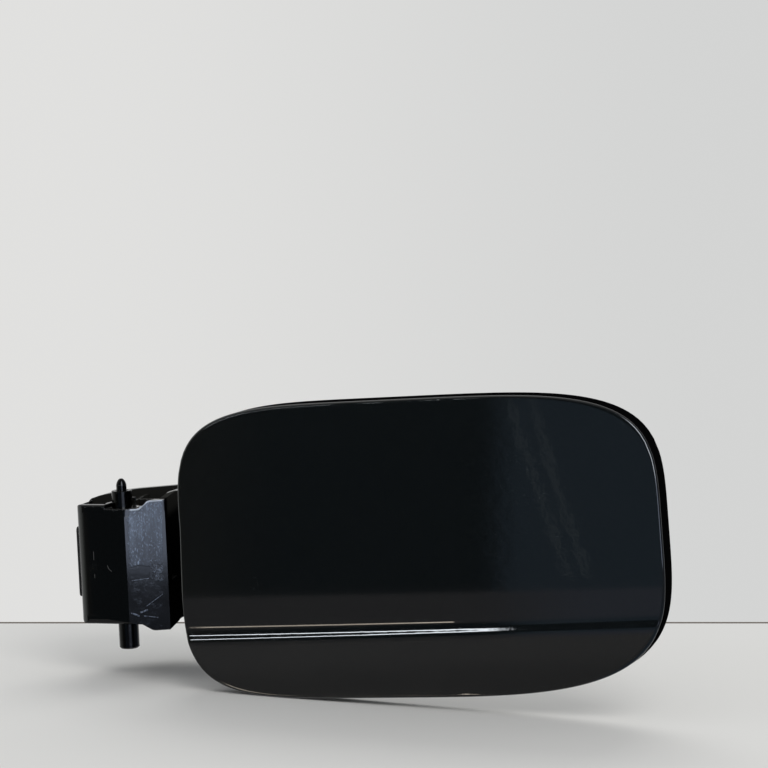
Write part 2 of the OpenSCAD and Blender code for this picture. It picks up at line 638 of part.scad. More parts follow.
// Base and standing tab with the eye for the lock's bolt
module latch_keeper() color([0.06, 0.06, 0.065]) on_flap() difference() {
    b = keeper_base;
    y0 = boss_y + seat_gap;
    union() {
        slab(y0, y0 + b[2]) translate([keeper_u, keeper_v]) polygon(rounded(corners(b[0], b[1], 3)));
        translate([keeper_u - tab_t / 2, 0, keeper_v]) rotate([0, 90, 0]) linear_extrude(height = tab_t) {
            translate([0, y0 + b[2] + eye_h]) circle(d = eye_d + 6, $fn = 60);
            translate([-eye_d / 2 - 3, y0 + 1]) square([eye_d + 6, b[2] + eye_h - 1]);
        }
    }
    translate([keeper_u - tab_t, y0 + b[2] + eye_h, keeper_v]) rotate([0, 90, 0])
        cylinder(d = eye_d, h = 2 * tab_t, $fn = 60);
    for (s = keeper_screws) along_y(s[0], y0 - cut, s[1])
        cylinder(d = screw_hole, h = b[2] + 2 * cut, $fn = 40);
}

module buffer(k) {
    stem = buffer_d / 2 - 1.2;
    color([0.03, 0.03, 0.03]) on_flap() translate([buffers[k][0], 0, buffers[k][1]]) rotate([-90, 0, 0])
        rotate_extrude($fn = 60) polygon(rounded([[0, panel_y + 1.3, 0], [stem / 2, panel_y + 1.3, 0],
            [stem / 2, boss_y + seat_gap, 0], [buffer_d / 2, boss_y + seat_gap, 0.5],
            [buffer_d / 2 - 0.8, boss_y + buffer_h, 1.6], [0, boss_y + buffer_h, 0]]));
}

module arm_screw_1() arm_screw(0);
module arm_screw_2() arm_screw(1);
module arm_screw_3() arm_screw(2);
module arm_screw_4() arm_screw(3);
module flange_clip_1() flange_clip(0);
module flange_clip_2() flange_clip(1);
module flange_clip_3() flange_clip(2);
module flange_clip_4() flange_clip(3);
module flange_clip_5() flange_clip(4);
module flange_clip_6() flange_clip(5);
module keeper_screw_1() keeper_screw(0);
module keeper_screw_2() keeper_screw(1);
module buffer_upper() buffer(0);
module buffer_lower() buffer(1);

hinge_pin();
pin_collar();
plunger();
plunger_spring();
pin_clip();
hinge_arm();
arm_stop_pad();
arm_screw_1();
arm_screw_2();
arm_screw_3();
arm_screw_4();
inner_carrier();
outer_skin();
flange_clip_1();
flange_clip_2();
flange_clip_3();
flange_clip_4();
flange_clip_5();
flange_clip_6();
latch_keeper();
keeper_screw_1();
keeper_screw_2();
buffer_upper();
buffer_lower();
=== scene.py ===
import json
import math
import bpy
import bmesh
from mathutils import Matrix, Vector


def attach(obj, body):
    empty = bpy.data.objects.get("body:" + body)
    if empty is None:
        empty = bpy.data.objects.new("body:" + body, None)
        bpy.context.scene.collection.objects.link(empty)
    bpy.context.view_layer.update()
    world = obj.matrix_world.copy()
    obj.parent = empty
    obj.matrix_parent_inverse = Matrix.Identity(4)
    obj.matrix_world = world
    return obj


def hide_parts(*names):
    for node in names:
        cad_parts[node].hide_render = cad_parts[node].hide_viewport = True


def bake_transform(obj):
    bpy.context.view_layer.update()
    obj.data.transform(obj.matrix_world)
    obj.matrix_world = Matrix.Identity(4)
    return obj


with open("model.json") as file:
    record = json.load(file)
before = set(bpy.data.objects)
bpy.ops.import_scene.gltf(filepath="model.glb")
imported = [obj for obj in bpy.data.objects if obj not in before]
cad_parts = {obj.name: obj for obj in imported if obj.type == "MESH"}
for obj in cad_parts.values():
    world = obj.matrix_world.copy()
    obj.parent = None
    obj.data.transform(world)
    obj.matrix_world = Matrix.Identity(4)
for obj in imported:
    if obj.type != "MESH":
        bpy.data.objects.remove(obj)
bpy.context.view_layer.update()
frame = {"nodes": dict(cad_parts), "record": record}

MM = 0.001
scene = bpy.context.scene
scene.view_settings.view_transform = "Standard"

# Sizes of the flap, as in part.scad (mm, degrees)
FLAP_W, FLAP_H = 201.2, 119.0
CREST_SHIFT, BELLY_SHIFT = 12.6, 2.7
CORNER_UL, CORNER_UR, CORNER_LL, CORNER_LR = 4.4, 4.5, 5.2, 3.7
FLAP_REACH, FLAP_Z, CANT, FACE_Y = 37.0, 38.3, 2.2, 26.0
SKIN_T, SKIN_DEPTH, EDGE_R = 0.9, 13.5, 1.0
CROWN_LONG, CROWN_HIGH = 2500.0, 1500.0
CREASE_UP, CREASE_TILT = 25.3, 0.7
BAND_H, FOOT_H = 17.0, 3.2
BAND_ANGLE, RIDGE_ANGLE, UNDER_ANGLE = 4.0, 14.0, 5.0
BAND_SOFT, FOOT_SOFT, RIDGE_SOFT = 1.6, 1.5, 1.0
LEFT_W, RIGHT_W = FLAP_W / 2 - CREST_SHIFT, FLAP_W / 2 + CREST_SHIFT
UP_H, LOW_H = FLAP_H / 2 - BELLY_SHIFT, FLAP_H / 2 + BELLY_SHIFT
FLAP_X = FLAP_REACH + LEFT_W
CREASE_V = CREASE_UP - LOW_H
TILT = math.tan(math.radians(CREASE_TILT))
END_POWER = 4.5

# Two forms that only the painted skin has (mm): the left edge gains LEAN_OUT towards its lower end,
# and a hair-fine line is pressed above the crease, to twice LINE_DEPTH
LEAN_OUT, LEAN_TOP, LEAN_RUN = 2.6, 8.0, 42.0
LINE_DEPTH, LINE_V, LINE_SLOPE, LINE_SOFT = 0.040, -31.76, 0.0057, 0.3
LINE_END, LINE_FADE = 31.0, 5.0

# The photo's camera, fitted to the pin, the arm and the flap
AZIMUTH, ELEVATION, ROLL = math.radians(21), math.radians(5.5), math.radians(-2.543)
TARGET, DISTANCE = Vector((0.1188, 0.0, 0.0990)), 1.2
IMAGE_SIZE, FOCAL, SENSOR = 768, 3000, 36  # two in pixels, and the sensor's width in mm
FLOOR_END_ROW = 622  # pixel row where the floor meets the wall

# Stage (m), and its tones
FLOOR_GAP, FLOOR_NEAR, FLOOR_SIDE = 0.0002, 0.3, 3.0
LAMP_AIM = Vector((0.10, 0.0, 0.04))
WALL = (0.69, 0.695, 0.69)
WALL_LEFT, WALL_RIGHT = (0.750, 0.748, 0.738), (0.655, 0.660, 0.655)
FLOOR_DARK, FLOOR_PALE, FLOOR_EDGE_SHADE = (0.69, 0.688, 0.665), (0.745, 0.742, 0.72), (0.16, 0.14, 0.12)

# Rubbed cam face of the arm, with painted reflection and painted highlights on it (mm): each pair says where
# a mask starts and where it is full
CAM_FACE = (0.45, -0.893, 0)
TRACK_LEFT, TRACK_RIGHT, TRACK_SLANT = 3.8, 17.0, 0.037
FIELD_Z = (24.4, 25.6)
PATCH_X, PATCH_FOOT, PATCH_HEAD = (12.8, 14.0), (17.5, 20.0), (25.0, 24.3)
STEP_X, STEP_Z, STEP_EDGE = (9.0, 14.0), (48.4, 51.7), (0.8, 0.4)
FRAY = 4.0

# Other zones of the arm (mm), in pairs as above, and how round its edges look
BLOCK_MIDDLE = 25.3
BLOCK_CORNER_X, BLOCK_CORNER_Z, BLOCK_CORNER_ROUND = (-9.0, -11.0), (22.2, 21.2), 4.0
RIM_Z, RIM_ROUND = (47.0, 47.5), 0.6
HOLLOW_Y, HOLLOW_Z = (4.0, 8.0), (42.0, 47.0)
WEB_X, WEB_FRONT, WEB_BACK = (10.0, 12.0), (-0.5, 1.5), (30.0, 26.0)

# Marks on the arm: both ends (x, z) of a short line, and half its width (mm)
SCRATCHES = (((8.7, 5.2), (11.0, 6.0), 0.22), ((5.4, 5.0), (7.8, 3.8), 0.20),
             ((10.8, 7.6), (17.0, 12.2), 0.01), ((6.0, 18.6), (12.2, 19.2), 0.01),
             ((9.8, 3.6), (15.0, 2.6), 0.04))
NICKS = (((-11.0, 30.6), (-11.0, 27.2), 0.02), ((-4.6, 25.0), (-4.0, 23.6), 0.05),
         ((-4.0, 23.6), (-2.8, 22.6), 0.02), ((-11.0, 21.0), (-11.0, 19.6), 0.01))
MARK_SOFT = 0.18


# Outline and face of the flap: u runs to the right along it and v upwards, from its crest
def rise(v, inset):
    return (UP_H if v > 0 else LOW_H) - inset


def corner_power(v, side):
    if v > 0:
        return CORNER_UR if side > 0 else CORNER_UL
    return CORNER_LR if side > 0 else CORNER_LL


def half_w(v, side, inset):
    power = corner_power(v, side)
    wide = RIGHT_W if side > 0 else LEFT_W + LEAN_OUT * min(1.0, max(0.0, LEAN_TOP - v) / LEAN_RUN)
    return (wide - inset) * max(0.0, 1 - (abs(v) / rise(v, inset)) ** power) ** (1 / power)


def fold(t, soft, angle):
    return math.tan(math.radians(angle)) / 2 * (math.sqrt(t * t + soft * soft) - t)


def crease(u):
    return CREASE_V + TILT * u


def fine_line(u, v):
    fade = min(1.0, max(0.0, (LINE_END - u) / LINE_FADE))
    return -LINE_DEPTH * fade * math.tanh((v - LINE_V - LINE_SLOPE * u) / LINE_SOFT)


def face(u, v):
    return (u * u / (2 * CROWN_LONG) + v * v / (2 * CROWN_HIGH) + fine_line(u, v)
            + fold(v - CREASE_V - BAND_H, BAND_SOFT, BAND_ANGLE)
            - fold(v - crease(u) - FOOT_H, FOOT_SOFT, BAND_ANGLE + RIDGE_ANGLE)
            + fold(v - crease(u), RIDGE_SOFT, RIDGE_ANGLE + UNDER_ANGLE))


def on_flap(u, y, v):
    c, s = math.cos(math.radians(CANT)), math.sin(math.radians(CANT))
    return Vector(((FLAP_X + u * c - v * s) * MM, (y - FACE_Y) * MM, (FLAP_Z + u * s + v * c) * MM))


# Camera
look = Vector((-math.sin(AZIMUTH) * math.cos(ELEVATION), math.cos(AZIMUTH) * math.cos(ELEVATION),
               -math.sin(ELEVATION)))
level = Vector((math.cos(AZIMUTH), math.sin(AZIMUTH), 0))
above = level.cross(look)
right = level * math.cos(ROLL) + above * math.sin(ROLL)
up = above * math.cos(ROLL) - level * math.sin(ROLL)


def make_camera():
    data = bpy.data.cameras.new("camera")
    data.lens, data.sensor_width = FOCAL * SENSOR / IMAGE_SIZE, SENSOR
    data.clip_start, data.clip_end = 0.05, 20
    obj = bpy.data.objects.new("camera", data)
    obj.matrix_world = Matrix((
        (right.x, up.x, -look.x, 0), (right.y, up.y, -look.y, 0), (right.z, up.z, -look.z, 0),
        (0, 0, 0, 1)))
    obj.location = TARGET - look * DISTANCE
    scene.collection.objects.link(obj)
    scene.camera = obj
    return obj


cam = make_camera()


# Short calls for shader nodes
class Tree:
    def __init__(self, name, world=None):
        if world is None:
            self.mat = bpy.data.materials.new(name)
        owner = world or self.mat
        owner.use_nodes = True
        self.nt = owner.node_tree
        self.nt.nodes.clear()
        self.coord = None

    def node(self, kind, **props):
        n = self.nt.nodes.new(kind)
        for name, value in props.items():
            setattr(n, name, value)
        return n

    def put(self, socket, value):
        if isinstance(value, bpy.types.NodeSocket):
            self.nt.links.new(value, socket)
        elif socket.type == "RGBA":
            socket.default_value = (*value, 1)
        else:
            socket.default_value = value

    def coordinate(self, name):
        if self.coord is None:
            self.coord = self.node("ShaderNodeTexCoord")
        return self.coord.outputs[name]

    def math(self, op, *values, clamp=False):
        n = self.node("ShaderNodeMath", operation=op, use_clamp=clamp)
        for k, value in enumerate(values):
            self.put(n.inputs[k], value)
        return n.outputs[0]

    def plus(self, a, b):
        return self.math("ADD", a, b)

    def minus(self, a, b):
        return self.math("SUBTRACT", a, b)

    def times(self, first, *others):
        for other in others:
            first = self.math("MULTIPLY", first, other)
        return first

    def most(self, first, *others):
        for other in others:
            first = self.math("MAXIMUM", first, other)
        return first

    def size(self, value):
        return self.math("ABSOLUTE", value)

    def dot(self, a, b):
        n = self.node("ShaderNodeVectorMath", operation="DOT_PRODUCT")
        self.put(n.inputs[0], a)
        self.put(n.inputs[1], b)
        return n.outputs["Value"]

    def xyz(self, vector):
        n = self.node("ShaderNodeSeparateXYZ")
        self.put(n.inputs[0], vector)
        return n.outputs

    def step(self, value, a, b, low=0.0, high=1.0, smooth=True):
        n = self.node("ShaderNodeMapRange", interpolation_type="SMOOTHSTEP" if smooth else "LINEAR")
        for name, val in (("Value", value), ("From Min", a), ("From Max", b),
                          ("To Min", low), ("To Max", high)):
            self.put(n.inputs[name], val)
        return n.outputs["Result"]

    def ramp(self, value, bounds_mm, low=0.0, high=1.0):
        return self.step(value, bounds_mm[0] * MM, bounds_mm[1] * MM, low, high)

    def between(self, value, low_bounds, high_bounds):
        return self.times(self.step(value, *low_bounds), self.step(value, *high_bounds))

    def noise(self, scale, detail=3, rough=0.5, stretch=None):
        place = self.coordinate("Object")
        if stretch:
            n = self.node("ShaderNodeVectorMath", operation="MULTIPLY")
            self.put(n.inputs[0], place)
            self.put(n.inputs[1], stretch)
            place = n.outputs[0]
        n = self.node("ShaderNodeTexNoise")
        self.put(n.inputs["Vector"], place)
        n.inputs["Scale"].default_value = scale
        n.inputs["Detail"].default_value = detail
        n.inputs["Roughness"].default_value = rough
        return n.outputs["Fac"]

    def cells(self, scale):
        n = self.node("ShaderNodeTexVoronoi", feature="F1")
        self.put(n.inputs["Vector"], self.coordinate("Object"))
        n.inputs["Scale"].default_value = scale
        return self.xyz(n.outputs["Color"])[0]

    def mix(self, share, a, b):
        n = self.node("ShaderNodeMix", data_type="RGBA")
        self.put(n.inputs[0], share)
        self.put(n.inputs[6], a)
        self.put(n.inputs[7], b)
        return n.outputs[2]

    def bump(self, height, strength, distance, normal=None):
        n = self.node("ShaderNodeBump")
        n.inputs["Strength"].default_value = strength
        n.inputs["Distance"].default_value = distance
        self.put(n.inputs["Height"], height)
        if normal is not None:
            self.put(n.inputs["Normal"], normal)
        return n.outputs[0]

    def bevel(self, radius, samples):
        n = self.node("ShaderNodeBevel", samples=samples)
        n.inputs["Radius"].default_value = radius
        return n.outputs[0]

    def finish(self, kind, surface):
        out = self.node(kind)
        self.nt.links.new(surface.outputs[0], out.inputs[0])

    def principled(self, **inputs):
        n = self.node("ShaderNodeBsdfPrincipled")
        for name, value in inputs.items():
            self.put(n.inputs[name.replace("_", " ")], value)
        self.finish("ShaderNodeOutputMaterial", n)
        return self.mat


# Finishes
def grey_paint():
    t = Tree("grey_paint")
    flake = t.cells(2600)
    cloud = t.noise(40, 2)
    base = t.mix(flake, (0.0012, 0.0014, 0.0015), (0.0034, 0.0042, 0.0046))
    dust_and_top_light = t.step(t.noise(900, 4, 0.7), 0.70, 0.80)
    base = t.mix(t.times(dust_and_top_light, 0.03), base, (0.25, 0.25, 0.24))
    rough = t.step(cloud, 0.3, 0.7, 0.34, 0.42)
    normal = t.bump(flake, 0.08, 0.0002)
    peel = t.bump(t.noise(230, 2), 0.012, 0.001)
    return t.principled(Base_Color=base, Metallic=0.4, Roughness=rough, Normal=normal,
                        Specular_IOR_Level=0.05, Coat_Weight=1.0, Coat_Roughness=0.03,
                        Coat_IOR=1.5, Coat_Normal=peel)


def bare_edge():
    t = Tree("bare_edge")
    grain = t.noise(1500)
    base = t.mix(grain, (0.0012, 0.0012, 0.0013), (0.0024, 0.0024, 0.0026))
    return t.principled(Base_Color=base, Roughness=0.9, Specular_IOR_Level=0.0,
                        Normal=t.bump(grain, 0.1, 0.0002))


def grained_plastic():
    t = Tree("black_plastic")
    grain = t.noise(2600, 3, 0.6)
    cloud = t.noise(60)
    base = t.mix(cloud, (0.012, 0.012, 0.013), (0.020, 0.020, 0.021))
    rough = t.plus(t.step(cloud, 0.3, 0.7, 0.46, 0.54), t.step(grain, 0.3, 0.8, 0, 0.05))
    return t.principled(Base_Color=base, Roughness=rough, Specular_IOR_Level=0.5,
                        Normal=t.bump(grain, 0.2, 0.0003))


def rubber():
    t = Tree("black_rubber")
    grain = t.noise(2500)
    base = t.mix(t.noise(120), (0.010, 0.010, 0.010), (0.020, 0.020, 0.019))
    return t.principled(Base_Color=base, Roughness=0.75, Specular_IOR_Level=0.3,
                        Normal=t.bump(grain, 0.15, 0.0002))


def steel(name, dark, pale, rough, turned=False):
    t = Tree(name)
    lines = t.noise(3000, 2, 0.5, stretch=(0.15, 0.15, 1.0) if turned else (1, 1, 1))
    base = t.mix(t.noise(150, 4, 0.6), dark, pale)
    return t.principled(Base_Color=base, Metallic=1.0, Normal=t.bump(lines, 0.05, 0.0001),
                        Roughness=t.step(lines, 0.3, 0.7, rough - 0.05, rough + 0.08))


# Gloss plastic of the arm, with its wear, and painted reflection, highlights and light on it
def short_lines(t, x, z, speck, lines):
    masks = []
    for start, end, half in lines:
        ax, az, bx, bz = (c * MM for c in (*start, *end))
        dx, dz = bx - ax, bz - az
        from_x, from_z = t.minus(x, ax), t.minus(z, az)
        along = t.plus(t.times(from_x, dx), t.times(from_z, dz))
        along = t.math("DIVIDE", along, dx * dx + dz * dz, clamp=True)
        off_x = t.math("MULTIPLY_ADD", along, -dx, from_x)
        off_z = t.math("MULTIPLY_ADD", along, -dz, from_z)
        far = t.math("SQRT", t.plus(t.times(off_x, off_x), t.times(off_z, off_z)))
        far = t.plus(far, t.times(t.minus(speck, 0.5), half * MM * 1.4))
        masks.append(t.ramp(far, (half + MARK_SOFT, half)))
    return t.most(*masks)


def cam_track(t, x, z, normal):
    facing = t.step(t.dot(normal, CAM_FACE), 0.93, 0.985)
    fray = t.times(t.minus(t.noise(420, 4, 0.7), 0.5), FRAY * MM)
    left = t.math("MULTIPLY_ADD", z, TRACK_SLANT, TRACK_LEFT * MM)
    right_end = t.math("MULTIPLY_ADD", z, TRACK_SLANT, TRACK_RIGHT * MM)
    past_left = t.ramp(t.minus(t.plus(x, fray), left), (-0.2, 1.2))
    return t.times(facing, past_left, t.ramp(t.minus(right_end, x), (0.0, 0.6)))


def cam_wear_and_painted_light(t, x, z, speck, painted_edge_highlight):
    # A pale field above a ragged edge, a patch on the right, then haze and scratches: the field is rubbed
    # wear, with a painted reflection of the window above its sill, painted glints and the painted edge
    # highlight
    ragged_z = t.math("MULTIPLY_ADD", t.minus(t.noise(170, 4, 0.6), 0.5), FRAY * MM, z)
    streak = t.noise(260, 5, 0.7, stretch=(1.0, 1.0, 0.16))
    broad = t.noise(110, 3, 0.6, stretch=(1.0, 1.0, 0.5))
    worn = t.times(t.step(streak, 0.30, 0.66, 0.10, 0.55), t.step(broad, 0.36, 0.62, 0.3, 1.0))
    # Painted glints: bright specks that stand in for highlights
    painted_glint = t.times(t.step(speck, 0.52, 0.68), t.step(t.noise(210, 2), 0.35, 0.6, 0.25, 1.0))
    worn_and_painted_lit_field = t.times(t.ramp(ragged_z, FIELD_Z), t.plus(t.plus(worn, painted_glint), painted_edge_highlight))
    patch = t.times(t.ramp(ragged_z, PATCH_FOOT), t.ramp(x, PATCH_X), t.ramp(ragged_z, PATCH_HEAD),
                    t.step(t.noise(900, 3, 0.7), 0.47, 0.60))
    haze = t.step(t.noise(420, 5, 0.75, stretch=(0.6, 1.0, 1.1)), 0.50, 0.74, 0.0, 0.07)
    lines = t.times(short_lines(t, x, z, speck, SCRATCHES),
                    t.step(t.noise(1300, 2), 0.42, 0.58, 0.08, 0.5))
    return t.most(worn_and_painted_lit_field, t.times(patch, 0.45), haze, lines)


def arm_normal(t, x, z):
    # Rounder front corner at the left, away from the block's ends, and a fine round on the rim
    off_middle = t.size(t.minus(z, BLOCK_MIDDLE * MM))
    corner = t.times(t.ramp(x, BLOCK_CORNER_X), t.ramp(off_middle, BLOCK_CORNER_Z))
    plain = t.node("ShaderNodeNewGeometry").outputs["Normal"]
    rimmed = t.mix(t.ramp(z, RIM_Z), plain, t.bevel(RIM_ROUND * MM, 4))
    return t.mix(corner, rimmed, t.bevel(BLOCK_CORNER_ROUND * MM, 8))


def arm_gloss(t, x, y, normal):
    # Faces that look towards the flap, and the web's edge behind the track, lose their gloss: painted shade,
    # standing in for the shade that falls there
    toward_x, _, toward_z = t.xyz(normal)
    web = t.times(t.ramp(y, WEB_FRONT), t.ramp(y, WEB_BACK), t.ramp(x, WEB_X), t.step(toward_z, 0.4, 0.7))
    return t.times(t.step(toward_x, 0.5, 0.6, 0.40, 0.0), t.minus(1.0, web))


def arm_plastic():
    t = Tree("arm_gloss")
    x, y, z = t.xyz(t.coordinate("Object"))
    normal = t.coordinate("Normal")
    speck = t.noise(1900, 2, 0.6, stretch=(1.0, 1.0, 0.5))
    track = cam_track(t, x, z, normal)
    crown = t.step(x, *(c * MM for c in STEP_X + STEP_Z))
    # The pale line along the track's top edge is a painted highlight
    painted_edge_highlight = t.ramp(t.minus(crown, z), STEP_EDGE)
    wear_and_painted_reflection = t.times(cam_wear_and_painted_light(t, x, z, speck, painted_edge_highlight), track)
    nicks = t.times(short_lines(t, x, z, speck, NICKS), t.step(t.dot(normal, (0, -1, 0)), 0.6, 0.9))
    # Upward faces are painted paler: painted light from above
    dust_and_top_light = t.times(t.step(t.xyz(normal)[2], 0.55, 0.95), t.step(t.noise(300, 4, 0.6), 0.3, 0.7, 0.5, 1.0))
    # The upper back of the arm, in its hollows, is painted paler: painted light from above
    painted_light_in_hollow = t.times(t.ramp(y, HOLLOW_Y), t.ramp(z, HOLLOW_Z))
    # Rubbed places turn pale blue: wear, with a painted reflection of the window in the blue
    base = t.mix(wear_and_painted_reflection, (0.0012, 0.0012, 0.0014), (0.210, 0.265, 0.365))
    for share, colour in ((t.times(painted_edge_highlight, track, 0.8), (0.62, 0.68, 0.78)),
                          (t.times(nicks, 0.5), (0.16, 0.16, 0.16)),
                          (t.times(dust_and_top_light, 0.3), (0.055, 0.055, 0.052)),
                          (t.times(painted_light_in_hollow, 0.35), (0.050, 0.050, 0.045))):
        base = t.mix(share, base, colour)
    rough = t.plus(t.step(wear_and_painted_reflection, 0, 1, 0.05, 0.30, smooth=False), t.step(t.noise(70), 0.35, 0.7, 0.0, 0.015))
    height = t.plus(t.times(speck, wear_and_painted_reflection), t.times(t.noise(500, 2), 0.04))
    return t.principled(Base_Color=base, Roughness=rough, Specular_IOR_Level=arm_gloss(t, x, y, normal),
                        Normal=t.bump(height, 0.12, 0.0003, arm_normal(t, x, z)))


FINISHES = {
    "grey_paint": grey_paint(), "black_gloss_plastic": arm_plastic(),
    "black_plastic": grained_plastic(), "black_rubber": rubber(),
    "dark_steel": steel("dark_steel", (0.011, 0.011, 0.011), (0.020, 0.020, 0.020), 0.16, turned=True),
    "spring_steel": steel("spring_steel", (0.30, 0.30, 0.31), (0.45, 0.45, 0.46), 0.28),
    "zinc_steel": steel("zinc_steel", (0.42, 0.42, 0.42), (0.60, 0.60, 0.58), 0.32)}
BARE_EDGE = bare_edge()

# Painted skin: a front sheet, a rounded edge, a turned flange and a back sheet (mm)
COLUMNS, ARC_STEPS, END_STEPS = 150, 8, 34
END_START, END_RUN, END_CROWDING = 0.12, 0.865, 0.62
RIDGE_ZONE, LINE_ZONE, BAND_ZONE = 3.0, (3.8, 6.6), 4.0
COARSE, MIDDLING, BAND_STEP, RIDGE_STEP, LINE_STEP = 2.2, 0.9, 0.4, 0.16, 0.08
LOW_STEP, LOW_MARGIN = 1.2, 0.4
SHARP = math.radians(40)


def spread(parts):
    rows = []
    for start, end, spacing in parts:
        n = max(1, round((end - start) / spacing))
        rows += [start + (end - start) * k / n for k in range(n)]
    return rows + [parts[-1][1]]


def end_row(height, t):
    return height * (1 - t ** END_POWER) ** (1 / END_POWER)


def skin_rows():
    # Rows close up towards both ends, and near the crease and the fold above it
    ends = [END_START + END_RUN * (k / END_STEPS) ** END_CROWDING for k in range(END_STEPS + 1)]
    ridge, band = CREASE_V - RIDGE_ZONE, CREASE_V + BAND_H
    line, line_end = (CREASE_V + v for v in LINE_ZONE)
    low = [-end_row(LOW_H, t) for t in ends if -end_row(LOW_H, t) < ridge - LOW_MARGIN]
    top = [end_row(UP_H, t) for t in reversed(ends)]
    middle = spread([(low[-1], ridge, LOW_STEP), (ridge, line, RIDGE_STEP), (line, line_end, LINE_STEP),
                     (line_end, band - BAND_ZONE, MIDDLING), (band - BAND_ZONE, band + BAND_ZONE, BAND_STEP),
                     (band + BAND_ZONE, top[0], COARSE)])
    return low[:-1] + middle + top[1:]


def row_end(v, side, inset):
    # A row near the crease slants with it, up to the outline
    slant = TILT * max(0.0, 1 - abs(v - CREASE_V) / BAND_H)
    w = v + side * slant * half_w(v, side, 0)
    return w * rise(w, inset) / rise(w, 0)


def skin_point(i, v, inset):
    left_v, right_v = row_end(v, -1, inset), row_end(v, 1, inset)
    left_u, right_u = -half_w(left_v, -1, inset), half_w(right_v, 1, inset)
    k = i / (COLUMNS - 1)
    return left_u + (right_u - left_u) * k, left_v + (right_v - left_v) * k


def add_face(bm, corners, slot):
    made = bm.faces.new(corners)
    made.material_index = slot
    made.smooth = True


def skin_sheets(bm, rows):
    front, back = [], []
    for v in rows:
        front.append([])
        back.append([])
        for i in range(COLUMNS):
            u, w = skin_point(i, v, EDGE_R)
            front[-1].append(bm.verts.new(on_flap(u, face(u, w), w)))
            back[-1].append(bm.verts.new(on_flap(u, face(u, w) + SKIN_T, w)))
    return front, back


def skin_rings(bm, rows, front, back):
    last_i, last_j = COLUMNS - 1, len(rows) - 1
    rim = ([(i, 0) for i in range(COLUMNS)] + [(last_i, j) for j in range(1, last_j + 1)]
           + [(i, last_j) for i in range(last_i - 1, -1, -1)] + [(0, j) for j in range(last_j - 1, 0, -1)])

    def ring(inset, depth):
        made = []
        for i, j in rim:
            u, w = skin_point(i, rows[j], inset)
            made.append(bm.verts.new(on_flap(u, depth(u, w), w)))
        return made

    rings = [[front[j][i] for i, j in rim]]
    for k in range(1, ARC_STEPS + 1):
        turn = math.radians(90 * k / ARC_STEPS)
        rings.append(ring(EDGE_R * (1 - math.sin(turn)),
                          lambda u, w: face(u, w) + EDGE_R * (1 - math.cos(turn))))
    rings.append(ring(0.0, lambda u, w: SKIN_DEPTH))
    rings.append(ring(SKIN_T, lambda u, w: SKIN_DEPTH))
    rings.append(ring(SKIN_T, lambda u, w: face(u, w) + EDGE_R))
    rings.append([back[j][i] for i, j in rim])
    return rings


def build_skin():
    rows = skin_rows()
    bm = bmesh.new()
    front, back = skin_sheets(bm, rows)
    rings = skin_rings(bm, rows, front, back)
    for grid, slot in ((front, 0), (back, 1)):
        for j in range(len(rows) - 1):
            for i in range(COLUMNS - 1):
                corners = [grid[j][i], grid[j][i + 1], grid[j + 1][i + 1], grid[j + 1][i]]
                add_face(bm, corners[::-1] if slot else corners, slot)
    for k, (a, b) in enumerate(zip(rings, rings[1:])):
        for m in range(len(a)):
            n = (m + 1) % len(a)
            add_face(bm, (a[n], a[m], b[m], b[n]), 0 if k < ARC_STEPS else 1)
    bmesh.ops.recalc_face_normals(bm, faces=bm.faces)
    mesh = bpy.data.meshes.new("painted_skin")
    bm.to_mesh(mesh)
    bm.free()
    obj = bpy.data.objects.new("painted_skin", mesh)
    scene.collection.objects.link(obj)
    mesh.materials.append(FINISHES["grey_paint"])
    mesh.materials.append(BARE_EDGE)
    mesh.set_sharp_from_angle(angle=SHARP)
    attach(obj, "flap")
    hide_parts("outer_skin")


def dress_nodes():
    slot_of = {s["node"]: s["material_slot"] for s in frame["record"]["subparts"]}
    for name, obj in frame["nodes"].items():
        obj.data.materials.clear()
        obj.data.materials.append(FINISHES[slot_of[name]])


def build_spring():
    # A copy of the spring's coil, fixed where it stands, replaces the spring node
    coil = frame["nodes"]["plunger_spring"]
    mesh = coil.data.copy()
    mesh.transform(coil.matrix_world)
    obj = bpy.data.objects.new("sprung_coil", mesh)
    scene.collection.objects.link(obj)
    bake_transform(obj)
    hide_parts("plunger_spring")


build_skin()
dress_nodes()
build_spring()

# Stage: the photo is turned a little, so its floor is level with the picture and not with the part
FOOT_ROWS, FOOT_DEPTHS, FOOT_POINTS = (1.0, 0.999, 0.98, 0.95), (4.0, SKIN_DEPTH), 21
world_up = (up * math.cos(ELEVATION) - look * math.sin(ELEVATION)).normalized()
ahead = (look - world_up * look.dot(world_up)).normalized()
side = ahead.cross(world_up)


def lowest_point():
    return min(on_flap(sign * half_w(v, sign, 0) * k / (FOOT_POINTS - 1), y, v).dot(world_up)
               for v in (-LOW_H * share for share in FOOT_ROWS)
               for sign in (-1, 1) for k in range(FOOT_POINTS) for y in FOOT_DEPTHS)


origin = cam.location + world_up * (lowest_point() - cam.location.dot(world_up) - FLOOR_GAP)


def floor_reach(row):
    ray = look - up * ((row - IMAGE_SIZE / 2) / FOCAL)
    return -(cam.location - origin).dot(world_up) / ray.dot(world_up) * ray.dot(ahead)


FLOOR_FAR = floor_reach(FLOOR_END_ROW)


